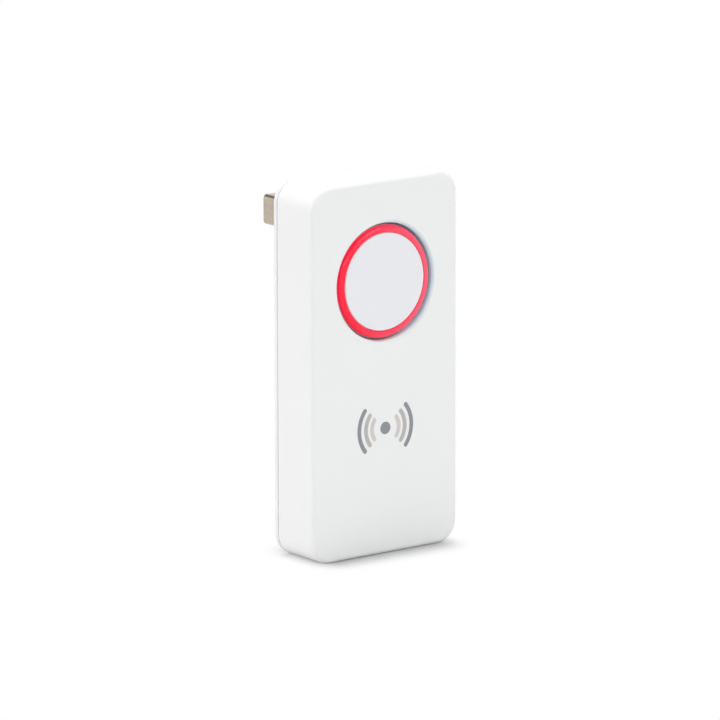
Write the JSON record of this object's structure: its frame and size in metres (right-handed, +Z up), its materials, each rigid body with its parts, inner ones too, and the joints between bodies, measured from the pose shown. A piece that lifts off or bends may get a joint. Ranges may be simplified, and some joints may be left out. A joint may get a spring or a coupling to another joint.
{
  "type": "wireless signal repeater",
  "caption": "Flat upright wireless repeater with a round light ring round a push-button in its face and a flat rectangular data plug at the back.",
  "frame": {"origin": "middle of the flat base that the housing stands on, halfway between its face and its back", "axes": "+X across the face, to the right seen from the front; +Y from the face to the plug at the back; +Z up"},
  "size_m": [0.027, 0.0216, 0.0562],
  "materials": {
    "white_shell": "moulded gloss white",
    "red_light_guide": "translucent red",
    "white_button": "moulded satin white",
    "white_matt": "moulded matt white",
    "lamp_white": "clear resin",
    "black_plastic": "moulded matt black",
    "grey_plastic": "moulded matt grey",
    "board_green": "solder resist on glass-fibre board",
    "nickel_sheet": "nickel-plated sheet, warm tone",
    "tongue_plastic": "moulded white",
    "gilt_contacts": "gold flash",
    "tinned_sheet": "tinned sheet",
    "ferrite": "pressed ferrite",
    "tantalum_yellow": "moulded yellow resin",
    "ceramic_tan": "ceramic",
    "steel_screw": "zinc-plated"
  },
  "bodies": {
    "case": {"front_housing": "white_shell", "rear_cover": "white_shell", "light_ring": "red_light_guide", "light_tray": "white_matt", "ring_lamps": "lamp_white", "switch_body": "black_plastic", "main_board": "board_green", "plug_shell": "nickel_sheet", "plug_tongue": "tongue_plastic", "plug_contacts": "gilt_contacts", "radio_board": "board_green", "shield_can": "tinned_sheet", "radio_chip": "black_plastic", "quartz_crystal": "tinned_sheet", "antenna_strip": "tinned_sheet", "voltage_regulator": "black_plastic", "memory_chip": "black_plastic", "power_inductor": "ferrite", "surge_diode": "black_plastic", "storage_capacitors": "tantalum_yellow", "bypass_capacitors": "ceramic_tan", "lamp_resistors": "black_plastic", "board_screws": "steel_screw"},
    "button": {"button_cap": "white_button", "switch_plunger": "grey_plastic"}
  },
  "joints": [
    {"name": "button_press", "type": "slide", "parent": "case", "child": "button", "axis": [0, 1, 0], "range_m": [0, 0.00025], "stiffness_N_per_m": 6400}
  ]
}
